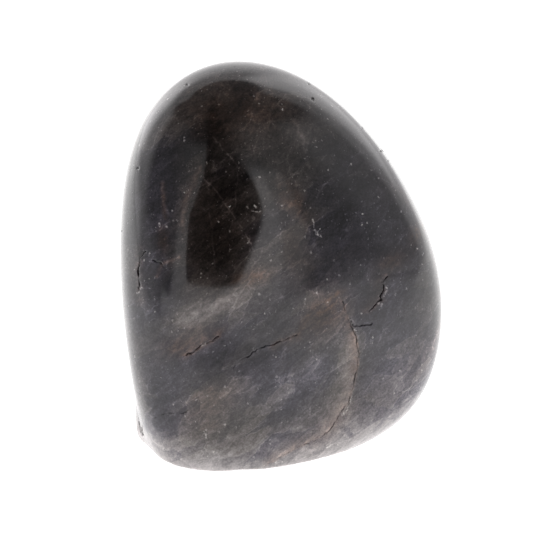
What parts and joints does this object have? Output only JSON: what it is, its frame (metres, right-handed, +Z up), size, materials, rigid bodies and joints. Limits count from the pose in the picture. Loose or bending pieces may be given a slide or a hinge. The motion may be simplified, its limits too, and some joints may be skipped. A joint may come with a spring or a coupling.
{
  "type": "polished smoky quartz stone",
  "caption": "Dark smoky quartz freeform, ground and polished to a leaning rounded shape and sawn flat underneath to stand; for display.",
  "frame": {"origin": "middle of the stone's bounding box, on the sawn base", "axes": "+Z up from the base, -Y towards the broad front face, +X to the right as the front is seen"},
  "size_m": [0.0752, 0.0582, 0.088],
  "materials": {
    "smoky_quartz": "polished, dark smoky brown to blue-grey crystal with pale veils, brown-stained healed cracks and a rough base edge"
  },
  "bodies": {
    "root": {"smoky_quartz": "smoky_quartz"}
  },
  "joints": []
}
